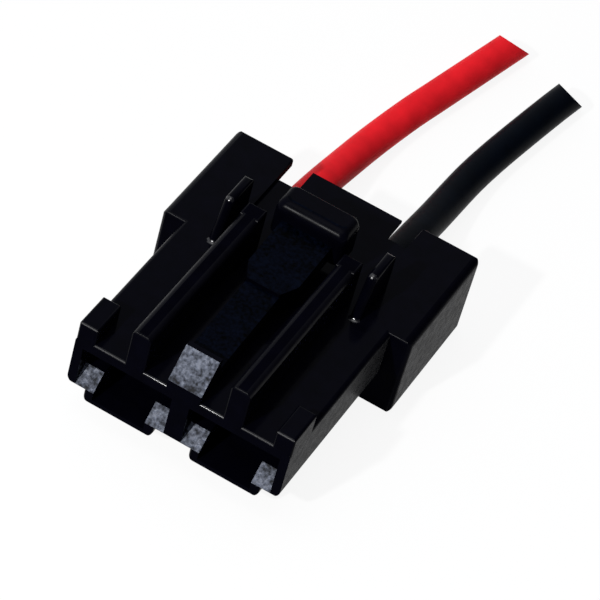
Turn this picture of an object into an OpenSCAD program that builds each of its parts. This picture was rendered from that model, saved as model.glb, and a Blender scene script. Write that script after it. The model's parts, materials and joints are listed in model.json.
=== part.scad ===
// Two-way fuel pump connector: a moulded plug housing with a latch on top,
// two crimped blade receptacles inside it and two wires.
// The housing stands on the flat underside of its rear block. The mating face
// looks along -Y, the wires leave along +Y, and X = 0 is the plane of symmetry.

/* [Plug] */
// Height of the plug's body, without its trays
plug_h = 5.25; // [4.9:0.05:6.5]
// Length of the plug in front of the rear block
plug_l = 17.1; // [15.5:0.1:20]
// Thickness of the plug's side walls
side_wall = 0.8; // [0.6:0.05:1.4]
// Radius of the plug's lower long edges
plug_edge_r = 0.8; // [0.4:0.05:1.1]
// Radius of the plug's upper long edges
plug_top_r = 0.45; // [0.2:0.05:0.6]
// Radius of the small moulded edges
edge_r = 0.25; // [0.1:0.05:0.35]

/* [Ways] */
// Distance between the two ways
pitch = 10; // [9.4:0.1:12]
// Width of a way at the height of the blade
way_w = 8.4; // [7.8:0.1:8.8]
// Thickness of the bar over the two mouths
bar_t = 1; // [0.9:0.05:1.3]
// Depth of that bar, where the receptacles stop
bar_l = 4.9; // [3.5:0.1:5.5]
// Thickness of the roof behind the bar
roof_t = 0.75; // [0.6:0.05:0.8]
// Width of the slot under the blade
slot_w = 4.9; // [4.2:0.1:5.4]
// Height of the shelves beside the slot, above the plug's underside
shelf_h = 1.6; // [1.4:0.05:1.8]
// Depth of the lead-in ramps at the mouth
lead_l = 1.3; // [0.8:0.1:1.8]
// Height of the ramps' front edge above the plug's underside
lead_h = 0.15; // [0.1:0.05:0.5]
// Depth of a tray below the plug
tray_drop = 1.2; // [1:0.05:1.6]
// Thickness of a tray's side walls
tray_wall = 0.85; // [0.6:0.05:1.1]
// Thickness of a tray's floor
tray_floor = 0.6; // [0.4:0.05:0.7]
// Radius of a tray's lower long edges
tray_r = 0.85; // [0.4:0.05:0.9]

/* [Rear block] */
// Length of the rear block
block_l = 12.9; // [11.5:0.1:16]
// Reach of each wing past the plug's side
wing_reach = 2; // [1:0.1:3]
// Depth of the block below the plug's underside
block_drop = 3.3; // [2.6:0.1:4.5]
// Radius of the block's long edges
block_edge_r = 0.75; // [0.3:0.05:0.9]
// Radius of the block's upright corners
block_r = 0.5; // [0.3:0.05:0.8]
// Width of the lowered deck between the wings
deck_w = 12.7; // [12.2:0.1:13.5]
// Depth of the deck below the wings
deck_drop = 0.45; // [0.2:0.05:0.6]
// Length of the notches above the wires
notch_l = 2.75; // [1.5:0.05:3.4]
// Width of the notches
notch_w = 1.95; // [1.5:0.05:2.5]

/* [Posts and rails] */
// Width of the front corner posts
post_w = 1.75; // [1.2:0.05:2.2]
// Length of the posts
post_l = 3.75; // [2.5:0.05:5]
// Height of the posts above the plug
post_h = 1.65; // [1:0.05:2.5]
// Clear width of the channel between the rails
channel_w = 7.3; // [7.2:0.1:8]
// Width of a rail
rail_w = 1.85; // [1.4:0.05:2]
// Height of the rails above the plug
rail_h = 3.8; // [2.5:0.05:4.5]
// Length of the rails from the mating face
rail_l = 19; // [18:0.1:19.2]
// Length of the square end of a rail
rail_end_l = 1.7; // [1:0.1:3]
// Radius of the rails' top edges
rail_r = 0.65; // [0.3:0.05:0.68]

/* [Latch] */
// Width of the latch nose and of the front of its arm
nose_w = 3.1; // [2.6:0.1:3.6]
// Height of the nose's upright front
nose_h = 0.77; // [0.4:0.01:1.2]
// Length of the ramp on the nose
nose_l = 2.1; // [1.5:0.1:2.8]
// Height of the catch behind the ramp
catch_h = 3.15; // [2.5:0.05:3.6]
// Length of the catch's flat top
catch_l = 0.5; // [0.3:0.05:1]
// Thickness of the latch arm
arm_t = 1.25; // [1:0.05:1.5]
// Gap under the arm where it leaves the nose
arm_gap = 0.75; // [0.5:0.05:1]
// Rise of the arm on its way to the thumb pad
arm_rise = 1; // [0.5:0.05:1.2]
// Distance from the mating face to the step on the arm
arm_step_y = 12; // [8:0.1:15]
// Height of that step
arm_step_h = 0.35; // [0.2:0.05:0.5]
// Width of the arm behind the step
arm_rear_w = 4.8; // [3.8:0.1:5.4]
// Width of the thumb pad
pad_w = 6.8; // [5.6:0.1:7]
// Distance from the mating face to the front of the pad
pad_y = 18.9; // [18.5:0.1:20]
// Length of the pad
pad_l = 3.3; // [2.6:0.1:3.8]
// Height of the pad's top above the plug
pad_h = 5.05; // [4:0.05:6]
// Height of the pad's underside above the plug
pad_low = 1.5; // [1:0.1:2]
// Radius of the pad's upright corners
pad_r = 0.8; // [0.3:0.05:1.2]
// Radius of the pad's front edge, which the thumb presses
pad_front_r = 1.1; // [0.5:0.05:1.5]
// Radius of the pad's side edges
pad_side_r = 0.9; // [0.4:0.05:1.5]
// Radius of the pad's rear edge
pad_rear_r = 0.35; // [0.15:0.05:0.8]

/* [Guard fins] */
// Thickness of a fin
fin_t = 0.95; // [0.7:0.05:1.3]
// Height of a fin above the wings
fin_h = 4; // [2.5:0.05:4.5]
// Length of a fin at its foot
fin_l = 5.3; // [4:0.1:6]
// Radius of a fin's edges
fin_r = 0.45; // [0.1:0.05:0.6]
// Radius of a fin's top corner above the rear block
fin_corner_r = 0.9; // [0.5:0.05:1.4]
// Lean of the fin's front face, from foot to top
fin_lean = 1.5; // [0.8:0.1:2]
// Reach of a fin's foot in front of the rear block
fin_lead = 0.7; // [0.3:0.1:1.2]

/* [Receptacles] */
// Thickness of the receptacles' sheet
sheet_t = 0.4; // [0.3:0.02:0.42]
// Thickness of the blade that they take
blade_t = 0.8; // [0.6:0.05:0.9]
// Length of the rolled box
box_l = 7.5; // [6.5:0.1:8.5]
// Length of the neck behind the box
neck_l = 1.75; // [1.4:0.05:2.2]
// Width of the neck
neck_w = 2; // [1.6:0.1:2.2]
// Length of the crimp on the bare strands
core_crimp_l = 3.3; // [2.6:0.1:3.5]
// Length of the crimp on the insulation
grip_l = 3; // [2.4:0.1:3.4]
// Width of the locking lance
lance_w = 2; // [1.4:0.1:2.6]
// Length of the lance
lance_l = 3; // [2:0.1:3.5]
// Reach of the lance below the box
lance_drop = 1.2; // [1:0.05:1.4]

/* [Wires] */
// Diameter over the insulation
wire_d = 3; // [2.4:0.1:3.2]
// Diameter of the bare strands
core_d = 2; // [1.6:0.1:2]

/* [Fits] */
// Play between a receptacle and its way, and inside its crimps
fit_gap = 0.05; // [0.04:0.01:0.08]
// Play beside a receptacle
side_gap = 0.5; // [0.2:0.05:0.6]
// Play between the lance and the bar that it locks on
lock_gap = 0.15; // [0.1:0.05:0.3]

/* [Hidden] */
$fn = 48;

// Overlap of the features that are moulded in one
join = 0.5;
// Least flat width between two fillets
least_flat = 0.05;
// Reach of a cut past the face that it opens
past = 1;

// Places across the part
way_x = pitch / 2;
plug_w = pitch + way_w + 2 * side_wall;
block_w = plug_w + 2 * wing_reach;
tray_w = slot_w + 2 * tray_wall;
rail_x = channel_w / 2;
fin_x = deck_w / 2;

// Places along the part, from the mating face to the rear
front_y = -(plug_l + block_l) / 2;
block_y = front_y + plug_l;
rear_y = block_y + block_l;

// Heights above the surface that the part stands on
base_z = block_drop;
top_z = base_z + plug_h;
deck_z = top_z - deck_drop;
roof_z = top_z - roof_t;
mouth_z = top_z - bar_t;
shelf_z = base_z + shelf_h;
slot_z = base_z - tray_drop + tray_floor;
// The crimp on the insulation lies on the slot's floor and sets the wire's height
grip_hole_r = wire_d / 2 + fit_gap;
grip_r = grip_hole_r + sheet_t;
wire_z = slot_z + fit_gap + grip_r;

// Receptacle: a rolled box that fills its way between the shelves and the roof
box_w = way_w - 2 * side_gap;
box_h = roof_z - shelf_z - 3 * fit_gap;
curl_r = box_h / 2;
box_y = front_y + bar_l + fit_gap;
box_z = shelf_z + fit_gap;
neck_y = box_y + box_l;
core_crimp_y = neck_y + neck_l;
core_crimp_end = core_crimp_y + core_crimp_l;
core_hole_r = core_d / 2 + fit_gap;
core_crimp_r = core_hole_r + sheet_t;
// Bare strands show on both sides of their crimp
bare_l = 1;
insulation_y = core_crimp_end + bare_l;
// Insulation shows in front of its crimp
shown_l = 0.4;
grip_y = insulation_y + shown_l;
seam_w = 0.3;
// Plain length of the box's base in front of the lance
base_l = 3.6;
lance_y = box_y + base_l;
lance_end = lance_y + lance_l;

// Bar across the slot that the lance locks on, and the deeper floor behind it
lock_y = lance_end + lock_gap;
lock_l = 1.2;
lock_h = 0.6;
lock_z = base_z + lock_h;
rear_room = 0.8;
rear_floor_z = slot_z - rear_room;

// Height of a wire's axis where it leaves the housing
exit_drop = 0.55;
exit_z = wire_z - exit_drop;

// Height of a wire's axis where it lies down
floor_gap = 0.05;
rest_z = wire_d / 2 + floor_gap;

// Route of each wire behind the rear face: the shift in X from the middle of its
// way, the distance behind the face, and the share of the exit's height left
red_lay = [
    [0.15, 0, 1], [0.15, 2, 0.86], [0.15, 4, 0.7], [0.17, 6, 0.53], [0.22, 8, 0.37],
    [0.31, 10, 0.24], [0.44, 12, 0.14], [0.64, 14, 0.07], [0.9, 16, 0.025], [1.24, 18.2, 0],
    [1.65, 20.4, 0], [2.17, 22.8, 0], [2.68, 25.2, 0], [3.19, 27.6, 0], [3.7, 30, 0],
    [4.21, 32.4, 0], [4.76, 35, 0]
];
black_lay = [
    [-0.15, 0, 1], [-0.19, 2, 0.86], [-0.22, 4, 0.7], [-0.25, 6, 0.53], [-0.28, 8, 0.37],
    [-0.31, 10, 0.24], [-0.32, 12, 0.14], [-0.3, 14, 0.07], [-0.22, 16, 0.025], [-0.04, 18.2, 0],
    [0.22, 20.4, 0], [0.55, 22.8, 0], [0.9, 25.2, 0], [1.26, 27.6, 0], [1.64, 30, 0], [2.04, 32.3, 0]
];
wire_sides = 8;

// A wire stays straight for a short way behind its crimp, then starts to fall
tail_l = 0.6;
tail_y = grip_y + grip_l + tail_l;
// Bends inside the housing: the share of the way to the rear face, and of the fall
bends = [[0.33, 0.1], [0.67, 0.45]];

// A route from the crimp through the rear of the way to the wire's cut end
function route(side, lay) = concat(
    [for (y = [insulation_y, grip_y + grip_l / 2, tail_y]) [side * way_x, y, wire_z]],
    [for (b = bends)
        [side * way_x + b.x * lay[0].x, tail_y + b.x * (rear_y - tail_y), wire_z - b.y * exit_drop]],
    [for (p = lay)
        [side * way_x + p.x, rear_y + p.y, rest_z + p.z * (exit_z - rest_z)]]
);

function unit(v) = v / norm(v);
function heading(path, i) = unit(path[min(i + 1, len(path) - 1)] - path[max(i - 1, 0)]);

// One ring of points around a path
function ring(path, i, r, n) =
    let (ahead = heading(path, i), side = unit(cross(ahead, [0, 0, 1])), up = cross(side, ahead))
    [for (k = [0:n - 1]) path[i] + r * (cos(360 * k / n) * side + sin(360 * k / n) * up)];

// A closed tube swept along a path
module tube(path, d, n) {
    last = (len(path) - 1) * n;
    points = [for (i = [0:len(path) - 1]) each ring(path, i, d / 2, n)];
    walls = [for (i = [0:len(path) - 2], k = [0:n - 1])
        let (a = i * n + k, b = i * n + (k + 1) % n)
        each [[a, b, b + n], [a, b + n, a + n]]];
    start_cap = [for (k = [n - 1:-1:0]) k];
    end_cap = [for (k = [0:n - 1]) last + k];
    polyhedron(points, concat([start_cap], walls, [end_cap]));
}

// Profiles drawn across X, Y or Z and pulled along it
module along_x(from, length) {
    translate([from, 0, 0]) rotate([90, 0, 90]) linear_extrude(length) children();
}

module along_y(from, length) {
    translate([0, from + length, 0]) rotate([90, 0, 0]) linear_extrude(length) children();
}

module along_z(from, length) {
    translate([0, 0, from]) linear_extrude(length) children();
}

module both_sides() {
    children();
    mirror([1, 0, 0]) children();
}

// A rectangle with round corners
module soft_rect(low, size, r) {
    translate(low + [r, 0]) square([size.x - 2 * r, size.y]);
    translate(low + [0, r]) square([size.x, size.y - 2 * r]);
    for (x = [r, size.x - r], y = [r, size.y - r])
        translate(low + [x, y]) circle(r);
}

// A block whose edges along X, Y and Z each have a radius
module soft_block(low, size, r) {
    intersection() {
        along_x(low.x, size.x) soft_rect([low.y, low.z], [size.y, size.z], r.x);
        along_y(low.y, size.y) soft_rect([low.x, low.z], [size.x, size.z], r.y);
        along_z(low.z, size.z) soft_rect([low.x, low.y], [size.x, size.y], r.z);
    }
}

module box(low, high) {
    translate(low) cube(high - low);
}

// The plug's outer form: its long edges are rounder below than at the top
module plug_body() {
    length = plug_l + block_l / 2;
    corner = [-plug_w / 2, base_z];
    intersection() {
        along_y(front_y, length) intersection() {
            soft_rect(corner, [plug_w, plug_h], plug_top_r);
            soft_rect(corner, [plug_w, plug_h + 2 * plug_edge_r], plug_edge_r);
        }
        along_x(-plug_w / 2, plug_w) soft_rect([front_y, base_z], [length, plug_h], edge_r);
    }
}

// A tray stands below each way and gives room to its slot
module tray() {
    low = [way_x - tray_w / 2, front_y, base_z - tray_drop];
    size = [tray_w, plug_l + block_l / 2, tray_drop + shelf_h];
    soft_block(low, size, [edge_r, tray_r, edge_r]);
}

module rear_block() {
    low = [-block_w / 2, block_y, 0];
    soft_block(low, [block_w, block_l, top_z], [edge_r, block_edge_r, block_r]);
}

// The deck between the wings is lowered from the plug to the rear face
module deck_cut() {
    box([-deck_w / 2, block_y, deck_z], [deck_w / 2, rear_y + past, top_z + past]);
}

module post() {
    low = [plug_w / 2 - post_w, front_y, top_z - 2 * join];
    soft_block(low, [post_w, post_l, post_h + 2 * join], [edge_r, edge_r, edge_r]);
}

// A rail has round top edges along the channel and a square end beside the pad
module rail() {
    low = [rail_x, front_y, deck_z - join];
    height = top_z + rail_h - low.z;
    soft_block(low, [rail_w, rail_l, height], [edge_r, rail_r, edge_r]);
    end_y = front_y + rail_l - rail_end_l;
    soft_block([low.x, end_y, low.z], [rail_w, rail_end_l, height], [edge_r, edge_r, edge_r]);
}

// A fin leans back at the front and has a round top corner at the rear
module fin() {
    foot_y = block_y - fin_lead;
    end_y = foot_y + fin_l;
    fin_z = top_z + fin_h;
    low_z = top_z - join;
    lean = atan2(fin_lean, fin_h);
    r = min(fin_r, (fin_t - least_flat) / 2);
    intersection() {
        along_x(fin_x, fin_t) {
            polygon([
                [foot_y, low_z], [foot_y, top_z], [foot_y + fin_lean, fin_z],
                [end_y - fin_corner_r, fin_z], [end_y - fin_corner_r, low_z]
            ]);
            translate([end_y - 2 * fin_corner_r, low_z])
                square([2 * fin_corner_r, fin_z - fin_corner_r - low_z]);
            translate([end_y - fin_corner_r, fin_z - fin_corner_r]) circle(fin_corner_r);
        }
        along_y(foot_y, fin_l) soft_rect([fin_x, low_z - r], [fin_t, fin_h + join + r], r);
        translate([0, foot_y, top_z]) rotate([-lean, 0, 0])
            along_z(-fin_l, 2 * fin_l + fin_h) soft_rect([fin_x, 0], [fin_t, 2 * fin_l], r);
        along_z(low_z, fin_h + join) soft_rect([fin_x, foot_y - fin_l], [fin_t, 2 * fin_l], r);
    }
}

// Nose, catch and arm seen from the side
module arm_side() {
    root_y = front_y + nose_l + catch_l;
    step_y = front_y + arm_step_y;
    end_y = front_y + pad_y + join;
    arm_z = top_z + arm_gap + arm_t;
    slope = arm_rise / (pad_y - nose_l - catch_l);
    step_z = arm_z + slope * (step_y - root_y);
    end_z = arm_z + slope * (end_y - root_y);
    polygon([
        [front_y, top_z - join], [front_y, top_z + nose_h],
        [front_y + nose_l, top_z + catch_h], [root_y, top_z + catch_h],
        [root_y, arm_z], [step_y, step_z], [step_y, step_z + arm_step_h],
        [end_y, end_z + arm_step_h], [end_y, end_z - arm_t],
        [root_y, arm_z - arm_t], [root_y, top_z - join]
    ]);
}

// The arm seen from above: it widens behind the step
module arm_plan() {
    step_y = front_y + arm_step_y;
    wide_y = step_y + (arm_rear_w - nose_w);
    end_y = front_y + pad_y + join;
    for (side = [-1, 1])
        polygon([
            [0, front_y], [side * nose_w / 2, front_y], [side * nose_w / 2, step_y],
            [side * arm_rear_w / 2, wide_y], [side * arm_rear_w / 2, end_y], [0, end_y]
        ]);
}

module latch_arm() {
    intersection() {
        along_x(-arm_rear_w / 2, arm_rear_w) arm_side();
        along_z(top_z - join, pad_h + join) arm_plan();
    }
}

// The pad seen from the side: a large radius at the front, a small one at the rear
module pad_side(y, low_z, height) {
    intersection() {
        soft_rect([y, low_z - pad_front_r], [pad_l + 2 * pad_front_r, height + pad_front_r], pad_front_r);
        soft_rect([y - 2 * pad_rear_r, low_z], [pad_l + 2 * pad_rear_r, height], pad_rear_r);
    }
}

// The pad is round along its front and sides
module thumb_pad() {
    y = front_y + pad_y;
    low_z = top_z + pad_low;
    height = pad_h - pad_low;
    intersection() {
        along_z(top_z, pad_h) soft_rect([-pad_w / 2, y], [pad_w, pad_l], pad_r);
        along_y(y, pad_l)
            soft_rect([-pad_w / 2, low_z - pad_side_r], [pad_w, height + pad_side_r], pad_side_r);
        along_x(-pad_w / 2, pad_w) pad_side(y, low_z, height);
    }
}

// A way: blade height, slot, lead-in ramps and wire room, open to the rear
module way_cut() {
    left = way_x - way_w / 2;
    right = way_x + way_w / 2;
    slot_left = way_x - slot_w / 2;
    slot_right = way_x + slot_w / 2;
    open_y = front_y - past;
    end_y = rear_y + past;
    box([left, open_y, shelf_z], [right, front_y + bar_l + fit_gap, mouth_z]);
    box([left, front_y + bar_l, shelf_z], [right, end_y, roof_z]);
    box([slot_left, open_y, slot_z], [slot_right, lock_y, shelf_z + fit_gap]);
    box([slot_left, lock_y - fit_gap, lock_z], [slot_right, end_y, shelf_z + fit_gap]);
    box([slot_left, lock_y + lock_l, slot_z], [slot_right, end_y, lock_z + fit_gap]);
    box([slot_left, block_y + fit_gap, rear_floor_z], [slot_right, end_y, slot_z + fit_gap]);
    slope = (shelf_h - lead_h) / lead_l;
    along_x(left, way_w) polygon([
        [open_y, base_z + lead_h - slope * past], [front_y + lead_l, shelf_z],
        [front_y + lead_l, shelf_z + fit_gap], [open_y, shelf_z + fit_gap]
    ]);
    box([fin_x - notch_w, rear_y - notch_l, roof_z - fit_gap], [fin_x, end_y, top_z + past]);
}

module housing() {
    color("#181818") difference() {
        union() {
            difference() {
                union() {
                    plug_body();
                    rear_block();
                    both_sides() tray();
                }
                deck_cut();
            }
            both_sides() {
                post();
                rail();
                fin();
            }
            latch_arm();
            thumb_pad();
        }
        both_sides() way_cut();
    }
}

// Section of the rolled box: a flat base and a curl along each side
module box_section() {
    base_half = box_w / 2 - curl_r;
    translate([-base_half, 0]) square([2 * base_half, sheet_t]);
    for (side = [-1, 1])
        translate([side * base_half, curl_r]) difference() {
            circle(curl_r);
            circle(curl_r - sheet_t);
            translate([side > 0 ? -curl_r : 0, sheet_t - curl_r])
                square([curl_r, blade_t + fit_gap]);
        }
}

// A crimp wraps the wire and meets in a seam on top
module crimp_section(r_in, r_out) {
    difference() {
        circle(r_out);
        circle(r_in);
        translate([-seam_w / 2, 0]) square([seam_w, r_out + past]);
    }
}

// The neck drops from the box's base to the crimp on the strands
module neck_side() {
    crimp_low = wire_z - core_crimp_r;
    flat_y = core_crimp_y - bare_l / 2;
    polygon([
        [neck_y - join, box_z], [neck_y, box_z], [flat_y, crimp_low],
        [core_crimp_y + join, crimp_low], [core_crimp_y + join, crimp_low + sheet_t],
        [flat_y, crimp_low + sheet_t], [neck_y, box_z + sheet_t],
        [neck_y - join, box_z + sheet_t]
    ]);
}

// The bridge steps down from the crimp on the strands to the one on the insulation
module bridge_side() {
    low = wire_z - grip_r;
    core_floor = wire_z - core_hole_r - fit_gap;
    grip_floor = wire_z - grip_hole_r;
    polygon([
        [core_crimp_end - join, low], [grip_y + join, low], [grip_y + join, grip_floor],
        [insulation_y - bare_l / 4, grip_floor], [insulation_y - bare_l / 4, core_floor],
        [core_crimp_end - join, core_floor]
    ]);
}

// The lance springs down from the base, its free end towards the wire
module lance_side() {
    polygon([
        [lance_y, box_z], [lance_end, box_z - lance_drop],
        [lance_end, box_z - lance_drop + sheet_t], [lance_y + lance_l * sheet_t / lance_drop, box_z],
        [lance_y + lance_l * sheet_t / lance_drop, box_z + sheet_t], [lance_y, box_z + sheet_t]
    ]);
}

// One receptacle, in the way on the +X side
module receptacle() {
    color("#c9c7bd") union() {
        translate([way_x, 0, box_z]) along_y(box_y, box_l) box_section();
        along_x(way_x - lance_w / 2, lance_w) lance_side();
        along_x(way_x - neck_w / 2, neck_w) neck_side();
        along_x(way_x - neck_w / 2, neck_w) bridge_side();
        translate([way_x, 0, wire_z]) {
            along_y(core_crimp_y, core_crimp_l) crimp_section(core_hole_r, core_crimp_r);
            along_y(grip_y, grip_l) crimp_section(grip_hole_r, grip_r);
        }
    }
}

// The bare strands, from in front of their crimp to the insulation
module strands() {
    start_y = core_crimp_y - bare_l / 4;
    color("#b87333") translate([way_x, start_y, wire_z]) rotate([-90, 0, 0])
        cylinder(h = insulation_y - start_y, r = core_d / 2);
}

module right_receptacle() {
    receptacle();
}

module left_receptacle() {
    mirror([1, 0, 0]) receptacle();
}

module right_strands() {
    strands();
}

module left_strands() {
    mirror([1, 0, 0]) strands();
}

module red_wire() {
    color("#d8141c") tube(route(-1, red_lay), wire_d, wire_sides);
}

module black_wire() {
    color("#16161a") tube(route(1, black_lay), wire_d, wire_sides);
}

housing();
left_receptacle();
right_receptacle();
left_strands();
right_strands();
red_wire();
black_wire();
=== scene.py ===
"""Looks of a two-way fuel pump connector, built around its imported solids.

The file is laid out as an add-on and is run as a script. Its operators set the stage and dress the
wires, the housing and the receptacles. Everything is in metres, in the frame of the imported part:
+Y runs from the mating face to the wires, +Z goes up through the latch, and the part stands on z = 0.
"""

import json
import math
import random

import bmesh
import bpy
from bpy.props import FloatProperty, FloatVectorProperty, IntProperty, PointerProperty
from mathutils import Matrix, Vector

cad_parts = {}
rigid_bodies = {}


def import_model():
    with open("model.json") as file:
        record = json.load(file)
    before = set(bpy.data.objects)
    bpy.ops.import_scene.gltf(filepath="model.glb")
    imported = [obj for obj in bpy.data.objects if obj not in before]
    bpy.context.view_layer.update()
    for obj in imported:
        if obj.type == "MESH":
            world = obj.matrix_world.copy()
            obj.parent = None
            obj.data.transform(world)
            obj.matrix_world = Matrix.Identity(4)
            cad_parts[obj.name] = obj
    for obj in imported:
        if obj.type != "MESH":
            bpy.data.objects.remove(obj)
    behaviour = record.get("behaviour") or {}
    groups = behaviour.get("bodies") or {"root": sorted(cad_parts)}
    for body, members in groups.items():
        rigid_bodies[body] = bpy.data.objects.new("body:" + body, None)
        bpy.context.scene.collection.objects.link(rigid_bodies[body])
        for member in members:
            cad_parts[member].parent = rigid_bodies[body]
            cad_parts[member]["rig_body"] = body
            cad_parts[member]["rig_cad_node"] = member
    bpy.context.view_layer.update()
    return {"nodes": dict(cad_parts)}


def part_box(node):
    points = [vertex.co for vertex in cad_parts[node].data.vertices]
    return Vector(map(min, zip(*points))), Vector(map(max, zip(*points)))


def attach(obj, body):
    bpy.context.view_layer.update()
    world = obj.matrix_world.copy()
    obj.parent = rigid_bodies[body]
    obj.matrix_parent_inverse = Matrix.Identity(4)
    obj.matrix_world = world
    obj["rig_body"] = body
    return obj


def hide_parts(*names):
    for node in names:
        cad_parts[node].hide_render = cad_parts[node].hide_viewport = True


bl_info = {
    "name": "Fuel Pump Connector",
    "version": (1, 0, 0),
    "blender": (4, 5, 0),
    "location": "View3D > Sidebar > Connector",
    "description": "Dresses the packed connector and sets its stage",
    "category": "Object",
}

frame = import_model()
MM = 0.001

# Camera: width of the sensor in millimetres, and the nearest distance that it sees
SENSOR = 36.0
SEEN_FROM = 0.01
# Lamps: angle around the part from its front, angle above the floor, distance from the aim, and side
KEY_LAMP = {"azimuth": math.radians(-16.0), "elevation": math.radians(37.0), "distance": 0.5, "size": 0.02}
TOP_LAMP = {"azimuth": math.radians(-20.0), "elevation": math.radians(80.0), "distance": 0.5, "size": 0.3}
# How far a direction leans to the world's pale side where the fade begins, and where it ends
PALE_FADE = (0.05, 0.7)

# Routes of the wires from their crimps to their cut ends, in millimetres, as in the solids
RED_ROUTE = [
    (-5.0, 3.5, 4.7), (-5.0, 5.4, 4.7), (-5.0, 7.5, 4.7), (-4.95, 9.98, 4.65), (-4.9, 12.53, 4.45),
    (-4.85, 15.0, 4.15), (-4.85, 17.0, 3.79), (-4.85, 19.0, 3.37), (-4.83, 21.0, 2.93),
    (-4.78, 23.0, 2.51), (-4.69, 25.0, 2.17), (-4.56, 27.0, 1.91), (-4.36, 29.0, 1.73),
    (-4.1, 31.0, 1.62), (-3.76, 33.2, 1.55), (-3.35, 35.4, 1.55), (-2.83, 37.8, 1.55),
    (-2.32, 40.2, 1.55), (-1.81, 42.6, 1.55), (-1.3, 45.0, 1.55), (-0.79, 47.4, 1.55), (-0.24, 50.0, 1.55),
]
BLACK_ROUTE = [
    (5.0, 3.5, 4.7), (5.0, 5.4, 4.7), (5.0, 7.5, 4.7), (4.95, 9.98, 4.65), (4.9, 12.53, 4.45),
    (4.85, 15.0, 4.15), (4.81, 17.0, 3.79), (4.78, 19.0, 3.37), (4.75, 21.0, 2.93),
    (4.72, 23.0, 2.51), (4.69, 25.0, 2.17), (4.68, 27.0, 1.91), (4.7, 29.0, 1.73),
    (4.78, 31.0, 1.62), (4.96, 33.2, 1.55), (5.22, 35.4, 1.55), (5.55, 37.8, 1.55),
    (5.9, 40.2, 1.55), (6.26, 42.6, 1.55), (6.64, 45.0, 1.55), (7.04, 47.3, 1.55),
]
# Steps of a wire's curve between two points of its route
ROUTE_STEPS = 6
# Which way the slanted cuts at the wires' ends face
RED_CUT = Vector((0.09, 0.66, 0.75)).normalized()
BLACK_CUT = Vector((0.3, 0.66, 0.69)).normalized()
# Strands: rings around the middle one, faces around each, steps along it, and the seed of their lengths
STRAND_RINGS = 2
STRAND_SIDES = 10
STRAND_STEPS = 10
STRAND_SEED = 7
# Turn of a bundle over its length, in radians, at a cut end and in a crimp
CUT_TWIST = 0.2
CRIMP_TWIST = 0.8

# Lowest and highest corners of the housing
LOW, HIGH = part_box("housing")
# Box of the thumb pad, which is the highest part of the housing
PAD_FROM = Vector((-3.4 * MM, LOW.y + 18.9 * MM, HIGH.z - 3.55 * MM))
PAD_TO = Vector((3.4 * MM, LOW.y + 22.2 * MM, HIGH.z))
# Rise of the latch arm over its length
ARM_SLOPE = 0.0615
# Height of the tops of the plug and the wings, on which the guard fins stand
WING_TOP = HIGH.z - 5.05 * MM
# The guard fins lie beyond this distance from the middle, and stand clear of the wings above this height
FIN_NEAR = 6.3 * MM
FIN_FOOT = WING_TOP + 0.45 * MM
# Their tops and the upper part of the thumb pad lie above this height, and the tops bend before this place
FIN_LOW = WING_TOP + 3.45 * MM
FIN_BEND = LOW.y + 18.4 * MM
FIN_ROUND = 0.3 * MM
# The corners at the fronts of their feet are filled between these places, with this radius
FOOT_FROM = LOW.y + 16.0 * MM
FOOT_TO = LOW.y + 16.7 * MM
FOOT_FILL = 0.25 * MM
# The notches above the wires and the matt sides before them lie behind this place, this near the middle
NOTCH_FRONT = LOW.y + 19.0 * MM
NOTCH_REACH = 10.0 * MM
# The thin wall that the notches cut through lies above this height
WALL_LOW = WING_TOP - 0.85 * MM
# How round the wings' corners beside the notches are, and how far their upper rounding reaches forward
WING_ROUND = 0.24 * MM
WING_EDGE = 0.3 * MM
# Faces across each of these small roundings
ROUND_STEPS = 4
# The guide rails' tops lie above this height, and the ramps below it
RAIL_LOW = WING_TOP + 2.45 * MM
# The right sides and their rounded edges lie beyond this distance from the middle
SIDE_EDGE = HIGH.x - 2.5 * MM
# The ramps' faces are larger than this, and the strips of rounded edges smaller
RAMP_AREA = 0.8 * MM * MM

# Points this near each other are merged, and places this near each other count as one
WELD = 0.001 * MM
NEAR = 0.01 * MM
# Faces are made one below the first angle, and shaded as one below the second
FLAT_ANGLE = math.radians(0.5)
SMOOTH_ANGLE = math.radians(32.0)
# How far a face's normal reaches along an axis, from 0 to 1, to count as level, as facing and so on
LEVEL = 0.985
FACING = 0.95
HALFWAY = 0.5
UPRIGHT = 0.3
LEANING = 0.25
TURNED = 0.15
ROUNDED = 0.05


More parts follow.
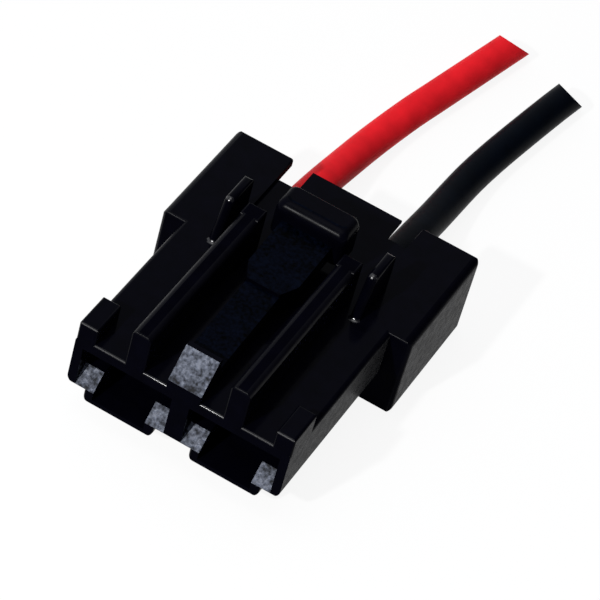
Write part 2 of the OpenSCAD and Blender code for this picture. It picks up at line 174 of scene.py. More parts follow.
class StageSettings(bpy.types.PropertyGroup):
    """Camera, lamps and floor"""

    azimuth: FloatProperty(name="Azimuth", description="Camera's angle around the part, from its front",
                           default=math.radians(17.428), subtype="ANGLE")
    elevation: FloatProperty(name="Elevation", description="Camera's angle above the floor",
                             default=math.radians(44.252), subtype="ANGLE")
    roll: FloatProperty(name="Roll", description="Camera's turn about its own axis",
                        default=math.radians(16.36), subtype="ANGLE")
    distance: FloatProperty(name="Distance", description="From the camera to the aim",
                            default=0.29331, unit="LENGTH")
    aim: FloatVectorProperty(name="Aim", description="Point in the middle of the frame",
                             default=(0.000834, 0.004901, 0.004041), subtype="TRANSLATION", unit="LENGTH")
    lens: FloatProperty(name="Lens", description="Focal length in millimetres",
                        default=210.0, unit="CAMERA")
    floor_size: FloatProperty(name="Floor", description="Side of the square floor",
                              default=3.0, unit="LENGTH")
    floor_colour: FloatVectorProperty(name="Floor colour", description="Colour of the floor",
                                      default=(0.92, 0.92, 0.92), subtype="COLOR")
    floor_white: FloatProperty(name="Floor white", description="Share of plain white in the floor's look",
                               default=0.9, min=0.0, max=1.0, subtype="FACTOR")
    key_power: FloatProperty(name="Key power", description="Power of the lamp beside the camera",
                             default=2.2, unit="POWER")
    top_power: FloatProperty(name="Top power", description="Power of the lamp overhead",
                             default=0.6, unit="POWER")
    pale_from: FloatVectorProperty(name="Pale from", description="Where the world's soft light comes from",
                                   default=(-0.76, 0.6, 0.25), subtype="DIRECTION")
    pale_side: FloatVectorProperty(name="Pale side", description="Colour of the world on that side",
                                   default=(0.8, 0.82, 0.86), subtype="COLOR")
    dim_side: FloatVectorProperty(name="Dim side", description="Colour of the world away from it",
                                  default=(0.12, 0.12, 0.13), subtype="COLOR")


class WireSizes(bpy.types.PropertyGroup):
    """Sizes of the wires"""

    diameter: FloatProperty(name="Diameter", description="Over the insulation",
                            default=0.003, unit="LENGTH")
    core: FloatProperty(name="Core", description="Diameter of the bundle of strands",
                        default=0.002, unit="LENGTH")
    recess: FloatProperty(name="Recess", description="Depth of the hollow round the strands in the cut end",
                          default=0.0012, unit="LENGTH")
    short: FloatProperty(name="Short", description="How far the strands end inside the cut end",
                         default=0.0003, unit="LENGTH")
    uneven: FloatProperty(name="Uneven", description="Most that one strand is shorter than another",
                          default=0.0003, unit="LENGTH")
    spare: FloatProperty(name="Spare", description="Length past the end, before the slanted cut",
                         default=0.003, unit="LENGTH")
    sides: IntProperty(name="Sides", description="Faces around a wire", default=32, min=12)


class PadSizes(bpy.types.PropertyGroup):
    """Roundings of the thumb pad"""

    set_back: FloatProperty(name="Set back", description="Of its front, from that of the solid",
                            default=0.00035, unit="LENGTH")
    corner: FloatProperty(name="Corner", description="Upright front corners",
                          default=0.0007, unit="LENGTH")
    rear_corner: FloatProperty(name="Rear corner", description="Upright rear corners",
                               default=0.0005, unit="LENGTH")
    front: FloatProperty(name="Front", description="Upper front edge", default=0.0010, unit="LENGTH")
    side: FloatProperty(name="Side", description="Upper side edges", default=0.0007, unit="LENGTH")
    rear: FloatProperty(name="Rear", description="Upper rear edge", default=0.00035, unit="LENGTH")
    lower: FloatProperty(name="Lower", description="Lower edges", default=0.0002, unit="LENGTH")
    steps: IntProperty(name="Steps", description="Faces across an upper edge or an upright corner",
                       default=8, min=3)
    lower_steps: IntProperty(name="Lower steps", description="Faces across a lower edge", default=3, min=1)


class FinishColours(bpy.types.PropertyGroup):
    """Colours of the finishes"""

    plastic: FloatVectorProperty(name="Plastic", description="Housing",
                                 default=(0.0007, 0.0007, 0.0022), subtype="COLOR")
    sides: FloatVectorProperty(name="Sides", description="Housing's rear, left side and underside",
                               default=(0.003, 0.003, 0.005), subtype="COLOR")
    # The right side's light grey is a painted reflection of the pale floor beside it, put into the black
    # plastic's colour.
    walls: FloatVectorProperty(name="Walls", description="Housing's right side",
                               default=(0.018, 0.018, 0.019), subtype="COLOR")
    # The ramps' grey is partly the sparked skin's own colour and partly a painted highlight of the lamp
    # beside the camera.
    sparked_and_highlight: FloatVectorProperty(name="Sparked", description="Ramps with a sparked texture",
                                 default=(0.035, 0.0415, 0.06), subtype="COLOR")
    arm: FloatVectorProperty(name="Arm", description="Top of the latch arm, with the same texture",
                             default=(0.0005, 0.0009, 0.0026), subtype="COLOR")
    tin: FloatVectorProperty(name="Tin", description="Receptacles",
                             default=(0.72, 0.69, 0.62), subtype="COLOR")
    copper: FloatVectorProperty(name="Copper", description="Strands",
                                default=(0.72, 0.4, 0.24), subtype="COLOR")
    red: FloatVectorProperty(name="Red", description="Red insulation",
                             default=(0.67, 0.0125, 0.019), subtype="COLOR")
    black: FloatVectorProperty(name="Black", description="Black insulation",
                               default=(0.0005, 0.0012, 0.0028), subtype="COLOR")


def new_material(name):
    """A material, its tree and its shader."""
    material = bpy.data.materials.new(name)
    material.use_nodes = True
    tree = material.node_tree
    return material, tree, tree.nodes["Principled BSDF"]


def noise(tree, waves, detail):
    """A cloudy pattern on the piece's own coordinates, from 0 to 1, with that many waves to the metre."""
    place = tree.nodes.new("ShaderNodeTexCoord")
    pattern = tree.nodes.new("ShaderNodeTexNoise")
    pattern.inputs["Scale"].default_value = waves
    pattern.inputs["Detail"].default_value = detail
    tree.links.new(place.outputs["Object"], pattern.inputs["Vector"])
    return pattern.outputs["Fac"]


def calculated(tree, operation, *values):
    """The result of a calculation on values, each of them a socket or a number."""
    node = tree.nodes.new("ShaderNodeMath")
    node.operation = operation
    for value, socket in zip(values, node.inputs):
        if isinstance(value, bpy.types.NodeSocket):
            tree.links.new(value, socket)
        else:
            socket.default_value = value
    return node.outputs["Value"]


def fade(tree, value, start, end, low=0.0, high=1.0):
    """The stretch of a value from start to end, laid out from low to high."""
    band = tree.nodes.new("ShaderNodeMapRange")
    band.inputs["From Min"].default_value = start
    band.inputs["From Max"].default_value = end
    band.inputs["To Min"].default_value = low
    band.inputs["To Max"].default_value = high
    tree.links.new(value, band.inputs["Value"])
    return band.outputs["Result"]


def spread(tree, pattern, low, high, reach):
    """The part of a pattern within reach of its middle, laid out from low to high."""
    return fade(tree, pattern, 0.5 - reach, 0.5 + reach, low, high)


def blended(tree, first, second, share):
    """Two patterns in one, with that share of the first."""
    rest = calculated(tree, "MULTIPLY", second, 1.0 - share)
    return calculated(tree, "MULTIPLY_ADD", first, share, rest)


def between(tree, value, dark, light):
    """A colour between two, by a value from 0 to 1."""
    mix = tree.nodes.new("ShaderNodeMix")
    mix.data_type = "RGBA"
    mix.inputs["A"].default_value = (*dark, 1.0)
    mix.inputs["B"].default_value = (*light, 1.0)
    tree.links.new(value, mix.inputs["Factor"])
    return mix.outputs["Result"]


def clouded(tree, shader, colour, pattern, shades, reach=0.2):
    """Give a shader its colour, which a pattern varies between a darker and a lighter shade."""
    dark, light = (tuple(min(1.0, part * shade) for part in colour) for shade in shades)
    cloud = spread(tree, pattern, 0.0, 1.0, reach)
    tree.links.new(between(tree, cloud, dark, light), shader.inputs["Base Color"])


def patchy(tree, shader, pattern, rough, reach=0.2):
    """Give a shader its roughness, which a pattern varies between two values."""
    low, high = rough
    tree.links.new(spread(tree, pattern, low, high, reach), shader.inputs["Roughness"])


def relief(tree, shader, height, depth):
    """Small relief of that depth in metres."""
    bump = tree.nodes.new("ShaderNodeBump")
    bump.inputs["Distance"].default_value = depth
    tree.links.new(height, bump.inputs["Height"])
    tree.links.new(bump.outputs["Normal"], shader.inputs["Normal"])


def moulded_plastic(name, colour, gloss, rough):
    """Black moulded plastic: a fine grain and an uneven gloss."""
    material, tree, shader = new_material(name)
    clouded(tree, shader, colour, noise(tree, waves=700.0, detail=4.0), shades=(0.8, 1.3))
    patchy(tree, shader, noise(tree, waves=1400.0, detail=4.0), rough, reach=0.12)
    shader.inputs["Specular IOR Level"].default_value = gloss
    relief(tree, shader, noise(tree, waves=9000.0, detail=2.0), depth=0.001 * MM)
    return material


def rubbed_plastic(name, colour, gloss, rough, worn):
    """Edges that the socket has rubbed smooth near the latch. The wear fades between two distances."""
    material, tree, shader = new_material(name)
    clouded(tree, shader, colour, noise(tree, waves=700.0, detail=4.0), shades=(0.8, 1.3))
    place = tree.nodes.new("ShaderNodeTexCoord")
    parts = tree.nodes.new("ShaderNodeSeparateXYZ")
    tree.links.new(place.outputs["Object"], parts.inputs["Vector"])
    near, far = worn
    wear = fade(tree, calculated(tree, "ABSOLUTE", parts.outputs["X"]), near, far)
    patches = blended(tree, wear, noise(tree, waves=1400.0, detail=4.0), share=0.85)
    patchy(tree, shader, patches, rough, reach=0.35)
    shader.inputs["Specular IOR Level"].default_value = gloss
    return material


def sparked_plastic(name, colour, gloss, rough, depth):
    """The coarser skin that a sparked mould leaves: rough dark pits between lighter grains, in patches,
    which on the ramps are partly a painted highlight.
    """
    material, tree, shader = new_material(name)
    grain = noise(tree, waves=3000.0, detail=4.0)
    skin = blended(tree, grain, noise(tree, waves=500.0, detail=3.0), share=0.6)
    clouded(tree, shader, colour, skin, shades=(0.1, 2.2), reach=0.12)
    patchy(tree, shader, skin, reversed(rough), reach=0.1)
    shader.inputs["Specular IOR Level"].default_value = gloss
    relief(tree, shader, grain, depth)
    return material


def tin_plate(colour):
    """Tin over brass sheet, uneven in its shade and gloss."""
    material, tree, shader = new_material("tin_plate")
    clouded(tree, shader, colour, noise(tree, waves=1200.0, detail=4.0), shades=(0.8, 1.1))
    patchy(tree, shader, noise(tree, waves=4000.0, detail=3.0), rough=(0.22, 0.4))
    shader.inputs["Metallic"].default_value = 1.0
    relief(tree, shader, noise(tree, waves=7000.0, detail=2.0), depth=0.003 * MM)
    return material


def bare_copper(colour):
    """Drawn copper strands, a little tarnished."""
    material, tree, shader = new_material("bare_copper")
    clouded(tree, shader, colour, noise(tree, waves=2500.0, detail=4.0), shades=(0.6, 1.1))
    patchy(tree, shader, noise(tree, waves=5000.0, detail=2.0), rough=(0.25, 0.42))
    shader.inputs["Metallic"].default_value = 1.0
    return material


def insulation(name, colour, gloss, shades):
    """Smooth extruded insulation with a faint unevenness."""
    material, tree, shader = new_material(name)
    clouded(tree, shader, colour, noise(tree, waves=500.0, detail=4.0), shades)
    patchy(tree, shader, noise(tree, waves=1800.0, detail=3.0), rough=(0.32, 0.42))
    shader.inputs["Specular IOR Level"].default_value = gloss
    relief(tree, shader, noise(tree, waves=3000.0, detail=2.0), depth=0.004 * MM)
    return material


def floor_finish(stage):
    """A pale floor that keeps the part's shadow, with a share of plain white."""
    material, tree, shader = new_material("pale_floor")
    shader.inputs["Base Color"].default_value = (*stage.floor_colour, 1.0)
    shader.inputs["Roughness"].default_value = 0.9
    path = tree.nodes.new("ShaderNodeLightPath")
    seen = calculated(tree, "MAXIMUM", path.outputs["Is Camera Ray"], path.outputs["Is Glossy Ray"])
    seen = calculated(tree, "MAXIMUM", seen, path.outputs["Is Transmission Ray"])
    white = tree.nodes.new("ShaderNodeEmission")
    mix = tree.nodes.new("ShaderNodeMixShader")
    tree.links.new(calculated(tree, "MULTIPLY", seen, stage.floor_white), mix.inputs["Fac"])
    tree.links.new(shader.outputs["BSDF"], mix.inputs[1])
    tree.links.new(white.outputs["Emission"], mix.inputs[2])
    tree.links.new(mix.outputs["Shader"], tree.nodes["Material Output"].inputs["Surface"])
    return material


def housing_finishes(colours):
    """The housing's finishes, each with its gloss and with its least and greatest roughness."""
    black = colours.plastic
    return {
        "flats": moulded_plastic("moulded_plastic", black, gloss=0.022, rough=(0.1, 0.17)),
        "fronts": moulded_plastic("matt_fronts", black, gloss=0.004, rough=(0.35, 0.5)),
        "edges": rubbed_plastic("rubbed_edges", black, gloss=0.18, rough=(0.2, 0.42),
                                worn=(2.5 * MM, 6.0 * MM)),
        "corners": moulded_plastic("soft_corners", black, gloss=0.045, rough=(0.28, 0.36)),
        "sides": moulded_plastic("satin_sides", colours.sides, gloss=0.3, rough=(0.28, 0.4)),
        # The right side: black plastic lightened into a painted reflection of the floor, with little gloss
        # of its own.
        "walls": moulded_plastic("plain_walls", colours.walls, gloss=0.0062, rough=(0.25, 0.35)),
        "bends": moulded_plastic("dark_bends", black, gloss=0.0075, rough=(0.25, 0.35)),
        "glints": moulded_plastic("glossy_bends", black, gloss=0.6, rough=(0.2, 0.3)),
        "pad": moulded_plastic("thumbed_plastic", black, gloss=0.026, rough=(0.26, 0.31)),
        # The ramps' light, strongly mottled colour is partly a painted highlight of the lamp, on top of the
        # shader's own gloss.
        "ramps": sparked_plastic("sparked_ramps_and_highlight", colours.sparked_and_highlight, gloss=0.15, rough=(0.34, 0.6),
                                 depth=0.06 * MM),
        "arm": sparked_plastic("sparked_arm", colours.arm, gloss=0.012, rough=(0.14, 0.24),
                               depth=0.02 * MM),
    }


def deselect_all():
    """Object mode with nothing selected."""
    if bpy.context.object and bpy.context.object.mode != "OBJECT":
        bpy.ops.object.mode_set(mode="OBJECT")
    bpy.ops.object.select_all(action="DESELECT")


def select_only(piece):
    """Object mode with one piece selected and active."""
    deselect_all()
    piece.select_set(True)
    bpy.context.view_layer.objects.active = piece


def work_on(piece):
    """Edit mode on one piece, with none of its mesh selected."""
    select_only(piece)
    bpy.ops.object.mode_set(mode="EDIT")
    bpy.ops.mesh.select_all(action="DESELECT")


def weld():
    """Select all of the mesh in edit mode, and merge its points that lie at one place."""
    bpy.ops.mesh.select_all(action="SELECT")
    bpy.ops.mesh.remove_doubles(threshold=WELD)


def select_faces(piece, test):
    """Select the faces that pass a test."""
    bpy.ops.mesh.select_mode(type="FACE")
    mesh = bmesh.from_edit_mesh(piece.data)
    for face in mesh.faces:
        face.select = test(face)
    mesh.select_flush_mode()
    bmesh.update_edit_mesh(piece.data)


def select_edges(piece, test):
    """Select the edges that pass a test."""
    bpy.ops.mesh.select_mode(type="EDGE")
    mesh = bmesh.from_edit_mesh(piece.data)
    for edge in mesh.edges:
        edge.select = test(edge)
    mesh.select_flush_mode()
    bmesh.update_edit_mesh(piece.data)


def round_edges(piece, test, radius, steps):
    """Round the edges that pass a test."""
    select_edges(piece, test)
    bpy.ops.mesh.bevel(offset=radius, segments=steps, affect="EDGES")


def finish_piece(piece, slot, *materials):
    """Smooth shading, finishes and the body that the piece rides on. The slot is not used."""
    select_only(piece)
    bpy.ops.object.shade_smooth_by_angle(angle=SMOOTH_ANGLE)
    piece.data.materials.clear()
    for material in materials:
        piece.data.materials.append(material)
    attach(piece, "root")


def direction(azimuth, elevation):
    """Direction towards a place at these angles, around the part from its front and above the floor."""
    flat = math.cos(elevation)
    return Vector((math.sin(azimuth) * flat, -math.cos(azimuth) * flat, math.sin(elevation)))


def camera_axes(stage):
    """The camera's right, up and back directions."""
    back = direction(stage.azimuth, stage.elevation)
    right = Vector((0.0, 0.0, 1.0)).cross(back).normalized()
    up = back.cross(right)
    turn = Matrix.Rotation(stage.roll, 3, back)
    return turn @ right, turn @ up, back


def add_lamp(name, aim, power, azimuth, elevation, distance, size):
    """A square lamp that looks at the aim."""
    back = direction(azimuth, elevation)
    turn = back.to_track_quat("Z", "Y").to_euler()
    bpy.ops.object.light_add(type="AREA", location=aim + distance * back, rotation=turn)
    lamp = bpy.context.object
    lamp.name = name
    lamp.data.size = size
    lamp.data.energy = power


class CONNECTOR_OT_stage(bpy.types.Operator):
    """Set the camera, the lamps, the world and the floor"""

    bl_idname = "connector.stage"
    bl_label = "Set the Stage"

    def execute(self, context):
        stage = context.scene.connector_stage
        aim = Vector(stage.aim)
        deselect_all()
        self.set_camera(context, stage, aim)
        add_lamp("key_lamp", aim, stage.key_power, **KEY_LAMP)
        add_lamp("top_lamp", aim, stage.top_power, **TOP_LAMP)
        self.set_world(context, stage)
        bpy.ops.mesh.primitive_plane_add(size=stage.floor_size)
        floor = context.object
        floor.name = "floor"
        floor.data.materials.append(floor_finish(stage))
        return {"FINISHED"}

    def set_camera(self, context, stage, aim):
        """A camera at the photograph's viewing angle."""
        right, up, back = camera_axes(stage)
        turn = Matrix((right, up, back)).transposed().to_euler()
        bpy.ops.object.camera_add(location=aim + stage.distance * back, rotation=turn)
        camera = context.object
        camera.data.lens = stage.lens
        camera.data.sensor_width = SENSOR
        camera.data.clip_start = SEEN_FROM
        context.scene.camera = camera
        context.scene.view_settings.view_transform = "Standard"

    def set_world(self, context, stage):
        """A world that is pale on one side and dim on the other."""
        world = bpy.data.worlds.new("studio")
        context.scene.world = world
        world.use_nodes = True
        tree = world.node_tree
        place = tree.nodes.new("ShaderNodeTexCoord")
        facing = tree.nodes.new("ShaderNodeVectorMath")
        facing.operation = "DOT_PRODUCT"
        facing.inputs[1].default_value = stage.pale_from
        tree.links.new(place.outputs["Generated"], facing.inputs[0])
        begins, ends = PALE_FADE
        pale = fade(tree, facing.outputs["Value"], begins, ends)
        colour = between(tree, pale, stage.dim_side, stage.pale_side)
        tree.links.new(colour, tree.nodes["Background"].inputs["Color"])


def new_curve(name):
    """A curve at the origin that has no points yet."""
    deselect_all()
    bpy.ops.curve.primitive_bezier_curve_add()
    piece = bpy.context.object
    piece.name = name
    piece.data.splines.clear()
    return piece


def thickened(piece, diameter, sides):
    """A curve made a closed mesh of that diameter, with that many faces around it."""
    piece.data.bevel_depth = diameter / 2
    piece.data.bevel_resolution = sides // 2 - 2
    piece.data.use_fill_caps = True
    bpy.ops.object.convert(target="MESH")
    mesh = bpy.context.object
    work_on(mesh)
    weld()
    bpy.ops.object.mode_set(mode="OBJECT")
    return mesh


def wire_tube(name, route, sizes):
    """A tube along a smooth curve through a route, and the points of its centre line."""
    tube = new_curve(name)
    spline = tube.data.splines.new("BEZIER")
    spline.bezier_points.add(len(route) - 1)
    for point, place in zip(spline.bezier_points, route):
        point.co = place
        point.handle_left_type = "AUTO"
        point.handle_right_type = "AUTO"
    tube.data.resolution_u = ROUTE_STEPS
    bpy.context.view_layer.update()
    line = [vertex.co.copy() for vertex in tube.to_mesh().vertices]
    tube.to_mesh_clear()
    return thickened(tube, sizes.diameter, sizes.sides), line


def cut_end(tube, end, heading, cut, sizes):
    """Cut a wire at its end by a slanted plane, and leave a ring of insulation around a hollow."""
    work_on(tube)
    bpy.ops.mesh.select_all(action="SELECT")
    bpy.ops.mesh.bisect(plane_co=end, plane_no=cut, use_fill=True, clear_outer=True, threshold=WELD)
    select_faces(tube, lambda face: face.normal.dot(cut) > LEVEL)
    bpy.ops.mesh.extrude_region_move(TRANSFORM_OT_translate={"value": (0.0, 0.0, 0.0)})
    bpy.ops.transform.resize(value=[sizes.core / sizes.diameter] * 3, center_override=end)
    bpy.ops.mesh.extrude_region_move(TRANSFORM_OT_translate={"value": -sizes.recess * heading})
    bpy.ops.object.mode_set(mode="OBJECT")


def strand_places(thick):
    """Middles of the strands across a bundle: one, then rings of six, twelve and so on around it."""
    places = [(0.0, 0.0)]
    for ring in range(1, STRAND_RINGS + 1):
        count = 6 * ring
        for i in range(count):
            turn = 2.0 * math.pi * (i + 0.5 * ring) / count
            places.append((ring * thick * math.cos(turn), ring * thick * math.sin(turn)))
    return places


def strand_bundle(name, start, heading, length, cut, core, twist, uneven=0.0):
    """Twisted strands from start along heading, with uneven far ends near a plane that faces along cut."""
    chance = random.Random(STRAND_SEED)
    across = heading.cross(Vector((0.0, 0.0, 1.0))).normalized()
    up = across.cross(heading)
    thick = core / (2 * STRAND_RINGS + 1)

    def aside(x, y, turn):
        """Place beside the bundle's axis, after a turn about it."""
        wide = x * math.cos(turn) - y * math.sin(turn)
        high = x * math.sin(turn) + y * math.cos(turn)
        return across * wide + up * high

    bundle = new_curve(name)
    for x, y in strand_places(thick):
        slant = aside(x, y, twist).dot(cut) / heading.dot(cut)
        reach = length - slant - uneven * chance.random()
        spline = bundle.data.splines.new("POLY")
        spline.points.add(STRAND_STEPS)
        for i, point in enumerate(spline.points):
            share = i / STRAND_STEPS
            place = start + heading * (share * reach) + aside(x, y, twist * share)
            point.co = (*place, 1.0)
    return thickened(bundle, thick, STRAND_SIDES)


class CONNECTOR_OT_wires(bpy.types.Operator):
    """Lay the two wires, with their strands at the cut ends and in the crimps"""

    bl_idname = "connector.wires"
    bl_label = "Lay the Wires"

    def execute(self, context):
        sizes = context.scene.connector_wires
        colours = context.scene.connector_finish
        copper = bare_copper(colours.copper)
        red = insulation("red_insulation", colours.red, gloss=0.01, shades=(0.9, 1.1))
        black = insulation("black_insulation", colours.black, gloss=0.018, shades=(0.9, 1.5))
        self.lay_wire("red", RED_ROUTE, RED_CUT, red, copper, sizes)
        self.lay_wire("black", BLACK_ROUTE, BLACK_CUT, black, copper, sizes)
        for side in ("left", "right"):
            self.crimped_strands(side, copper, sizes)
        return {"FINISHED"}

    def lay_wire(self, colour, route, cut, finish, copper, sizes):
        """One wire from its crimp to its slanted end, with the strands that show there."""
        places = [MM * Vector(place) for place in route]
        end = places[-1]
        heading = (end - places[-2]).normalized()
        wire, line = wire_tube(f"{colour}_insulated_wire", places + [end + sizes.spare * heading], sizes)
        line = [point for point in line if (point - end).dot(heading) < 0.0] + [end]
        cut_end(wire, end, heading, cut, sizes)
        start = end - sizes.spare * heading
        strands = strand_bundle(f"{colour}_wire_cut_strands", start, heading, sizes.spare - sizes.short,
                                cut, sizes.core, CUT_TWIST, sizes.uneven)
        finish_piece(strands, "strand_copper", copper)
        finish_piece(wire, f"{colour}_insulation", finish)
        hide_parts(f"{colour}_wire")

    def crimped_strands(self, side, copper, sizes):
        """The bare strands in a crimp, in place of their plain cylinder."""
        low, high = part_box(f"{side}_strands")
        start = Vector(((low.x + high.x) / 2, low.y, (low.z + high.z) / 2))
        ahead = Vector((0.0, 1.0, 0.0))
        bundle = strand_bundle(f"{side}_crimped_strands", start, ahead, high.y - low.y,
                               ahead, sizes.core, CRIMP_TWIST)
        finish_piece(bundle, "strand_copper", copper)
        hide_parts(f"{side}_strands")


def merged_copy(node, name):
    """A copy of a CAD node's mesh with its loose triangles merged and its flat faces whole."""
    select_only(frame["nodes"][node])
    bpy.ops.object.duplicate()
    piece = bpy.context.object
    bpy.ops.object.parent_clear(type="CLEAR_KEEP_TRANSFORM")
    piece.name = name
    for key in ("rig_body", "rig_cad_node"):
        del piece[key]
    work_on(piece)
    weld()
    bpy.ops.mesh.customdata_custom_splitnormals_clear()
    bpy.ops.mesh.dissolve_limited(angle_limit=FLAT_ANGLE)
    bpy.ops.object.mode_set(mode="OBJECT")
    return piece


def even_normals(piece):
    """Keep the flat faces flat in the shading beside their rounded edges."""
    select_only(piece)
    bpy.ops.object.modifier_add(type="WEIGHTED_NORMAL")
    modifier = piece.modifiers[-1]
    modifier.keep_sharp = True
    bpy.ops.object.modifier_apply(modifier=modifier.name)


def at_wing_corner(edge):
    """Whether an edge is an upright corner of a wing, where a notch meets the rear."""
    one, other = (vertex.co for vertex in edge.verts)
    beside = abs(one.x - other.x) < NEAR and FIN_NEAR < abs(one.x) < NOTCH_REACH
    return beside and min(one.z, other.z) > WALL_LOW and min(one.y, other.y) > HIGH.y - WING_EDGE


def at_fin_bend(edge):
    """Whether an edge crosses the top of a guard fin at its bend."""
    one, other = (vertex.co for vertex in edge.verts)
    return abs(one.x - other.x) > NEAR and all(
        abs(place.x) > FIN_NEAR and place.y < FIN_BEND and place.z > FIN_LOW for place in (one, other)
    )


def at_fin_foot(edge):
    """Whether an edge lies in the corner between a guard fin's front and the plug that it stands on."""
    return not edge.is_convex and all(
        abs(vertex.co.x) > FIN_NEAR and FOOT_FROM < vertex.co.y < FOOT_TO
        and abs(vertex.co.z - WING_TOP) < NEAR for vertex in edge.verts
    )


def in_pad(face):
    """Whether a face lies in the thumb pad's box."""
    return all(
        low - NEAR < part < high + NEAR
        for vertex in face.verts for low, part, high in zip(PAD_FROM, vertex.co, PAD_TO)
    )


def finish_of(face):
    """Which of the housing's finishes a face has, by its lean and its place."""
    place, lean = face.center, face.normal
    aside = abs(place.x)
    in_middle = aside < PAD_TO.x
    by_fins = aside > FIN_NEAR
    if in_middle and place.y > PAD_FROM.y and place.z > FIN_LOW and lean.z < LEVEL:
        return "pad"
    if in_middle and lean.z > FACING and ARM_SLOPE / 3 < -lean.y < ARM_SLOPE * 3:
        return "arm"
    at_foot = FOOT_FROM < place.y < FOOT_TO and WING_TOP < place.z < WING_TOP + FOOT_FILL
    if by_fins and (place.z > FIN_LOW or at_foot) and lean.y < -TURNED and lean.z > HALFWAY:
        return "glints"
    on_rail = PAD_TO.x < aside < FIN_NEAR and place.y < PAD_TO.y and place.z > RAIL_LOW
    by_notch = place.y > NOTCH_FRONT and aside < NOTCH_REACH
    sideways = abs(lean.x) > (TURNED if place.y > PAD_TO.y else FACING)
    if lean.y < -FACING or (on_rail and lean.z > LEVEL) or (by_notch and sideways):
        return "fronts"
    if lean.y > FACING or lean.x < -FACING or lean.z < -FACING:
        return "sides"
    outer = place.x > SIDE_EDGE
    # The right side gets the light colour that paints the floor's reflection on it.
    if outer and lean.x > FACING:
        return "walls"
    rail_end = on_rail and ROUNDED < lean.y < FACING
    if rail_end or (ROUNDED < lean.x < FACING and (outer or abs(lean.z) < UPRIGHT)):
        return "bends"
    if lean.y < -LEANING and lean.z > LEANING and place.y < 0.0 and place.z < RAIL_LOW:
        return "ramps" if face.area > RAMP_AREA else "edges"
    on_fin = by_fins and place.y > 0.0 and place.z > FIN_FOOT
    if max(abs(part) for part in lean) < LEVEL and not on_fin:
        return "corners"
    return "flats"


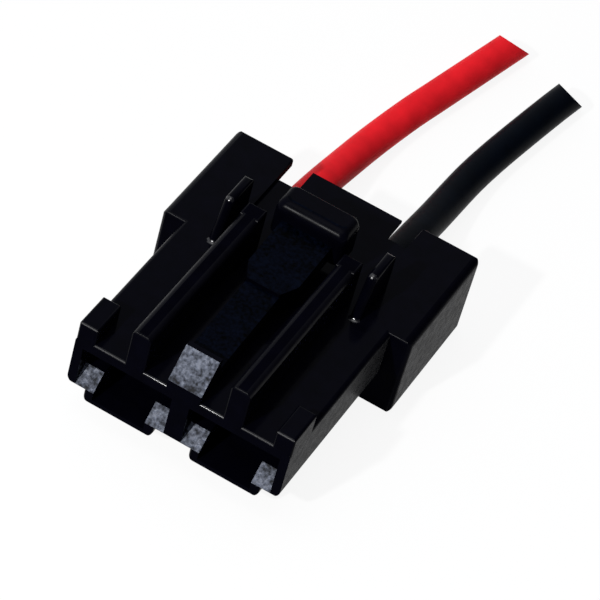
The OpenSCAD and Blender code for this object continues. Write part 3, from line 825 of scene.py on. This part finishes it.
class CONNECTOR_OT_housing(bpy.types.Operator):
    """Dress the moulded housing"""

    bl_idname = "connector.housing"
    bl_label = "Dress the Housing"

    def execute(self, context):
        shell = merged_copy("housing", "moulded_housing")
        work_on(shell)
        round_edges(shell, at_wing_corner, WING_ROUND, ROUND_STEPS)
        round_edges(shell, at_fin_bend, FIN_ROUND, ROUND_STEPS)
        round_edges(shell, at_fin_foot, FOOT_FILL, ROUND_STEPS)
        self.remodel_pad(shell, context.scene.connector_pad)
        finishes = housing_finishes(context.scene.connector_finish)
        finish_piece(shell, "housing_plastic", *finishes.values())
        order = list(finishes)
        for face in shell.data.polygons:
            face.material_index = order.index(finish_of(face))
        even_normals(shell)
        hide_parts("housing")
        return {"FINISHED"}

    def remodel_pad(self, shell, sizes):
        """Put a new thumb pad on the arm in place of the solid's, with roundings that run together."""
        work_on(shell)
        select_faces(shell, in_pad)
        bpy.ops.mesh.delete(type="FACE")
        low = PAD_FROM + Vector((0.0, sizes.set_back, 0.0))
        self.add_block(shell, sizes, low)
        self.add_top(shell, sizes, low)
        bpy.ops.mesh.select_mode(type="EDGE")
        bpy.ops.mesh.select_all(action="DESELECT")
        bpy.ops.mesh.select_non_manifold()
        bpy.ops.mesh.edge_face_add()
        reach = sizes.set_back + sizes.front
        bpy.ops.mesh.extrude_region_move(TRANSFORM_OT_translate={"value": (0.0, reach, ARM_SLOPE * reach)})
        bpy.ops.object.mode_set(mode="OBJECT")

    def add_block(self, shell, sizes, low):
        """Model the pad up to its upper edges: a block with rounded upright corners and lower edges."""
        size = PAD_TO - low
        size.z -= sizes.front
        middle = low + size / 2

        def upright(edge, end):
            """Whether an edge is an upright corner at one end of the block."""
            one, other = (vertex.co for vertex in edge.verts)
            return abs(one.z - other.z) > size.z - NEAR and all(
                abs(abs(place.x) - PAD_TO.x) < NEAR and abs(place.y - end) < NEAR for place in (one, other)
            )

        bpy.ops.mesh.primitive_cube_add(size=1.0, location=middle)
        bpy.ops.transform.resize(value=size, center_override=middle)
        round_edges(shell, lambda edge: upright(edge, low.y), sizes.corner, sizes.steps)
        round_edges(shell, lambda edge: upright(edge, PAD_TO.y), sizes.rear_corner, sizes.steps)
        select_faces(shell, lambda face: in_pad(face) and face.normal.z < -LEVEL)
        bpy.ops.mesh.bevel(offset=sizes.lower, segments=sizes.lower_steps, affect="EDGES")

    def add_top(self, shell, sizes, low):
        """Model the pad's upper edges and its top: rings that rise and narrow along quarter ellipses."""
        select_faces(shell, lambda face: in_pad(face) and face.normal.z > LEVEL)
        half, front, rear, height = PAD_TO.x, low.y, PAD_TO.y, 0.0
        for step in range(1, sizes.steps + 1):
            turn = math.pi / 2 * step / sizes.steps
            inset = 1.0 - math.cos(turn)
            next_half = PAD_TO.x - sizes.side * inset
            next_front = low.y + sizes.front * inset
            next_rear = PAD_TO.y - sizes.rear * inset
            next_height = sizes.front * math.sin(turn)
            narrower = next_half / half
            shorter = (next_rear - next_front) / (rear - front)
            still = (next_front - shorter * front) / (1.0 - shorter)
            rise = (0.0, 0.0, next_height - height)
            bpy.ops.mesh.extrude_region_move(TRANSFORM_OT_translate={"value": rise})
            bpy.ops.transform.resize(value=(narrower, shorter, 1.0), center_override=(0.0, still, 0.0))
            half, front, rear, height = next_half, next_front, next_rear, next_height


class CONNECTOR_OT_receptacles(bpy.types.Operator):
    """Give the receptacles their tin plate"""

    bl_idname = "connector.receptacles"
    bl_label = "Plate the Receptacles"

    def execute(self, context):
        tin = tin_plate(context.scene.connector_finish.tin)
        for side in ("left", "right"):
            node = frame["nodes"][f"{side}_receptacle"]
            for place in node.material_slots:
                place.material = tin
        return {"FINISHED"}


class CONNECTOR_PT_panel(bpy.types.Panel):
    """The connector's steps and settings"""

    bl_label = "Fuel Pump Connector"
    bl_idname = "CONNECTOR_PT_panel"
    bl_space_type = "VIEW_3D"
    bl_region_type = "UI"
    bl_category = "Connector"

    def draw(self, context):
        for step in STEPS:
            self.layout.operator(step.bl_idname)
        for name, group in SETTINGS.items():
            box = self.layout.box()
            for key in group.__annotations__:
                box.prop(getattr(context.scene, name), key)


STEPS = (CONNECTOR_OT_stage, CONNECTOR_OT_wires, CONNECTOR_OT_housing, CONNECTOR_OT_receptacles)
SETTINGS = {
    "connector_stage": StageSettings,
    "connector_wires": WireSizes,
    "connector_pad": PadSizes,
    "connector_finish": FinishColours,
}


def register():
    """Add the settings, the steps and the panel."""
    for group in SETTINGS.values():
        bpy.utils.register_class(group)
    for name, group in SETTINGS.items():
        setattr(bpy.types.Scene, name, PointerProperty(type=group))
    for step in STEPS:
        bpy.utils.register_class(step)
    bpy.utils.register_class(CONNECTOR_PT_panel)


def unregister():
    """Take them away again."""
    bpy.utils.unregister_class(CONNECTOR_PT_panel)
    for step in reversed(STEPS):
        bpy.utils.unregister_class(step)
    for name in SETTINGS:
        delattr(bpy.types.Scene, name)
    for group in reversed(SETTINGS.values()):
        bpy.utils.unregister_class(group)


def main():
    """Run the steps in order."""
    register()
    bpy.ops.connector.stage()
    bpy.ops.connector.wires()
    bpy.ops.connector.housing()
    bpy.ops.connector.receptacles()


if __name__ == "__main__":
    main()
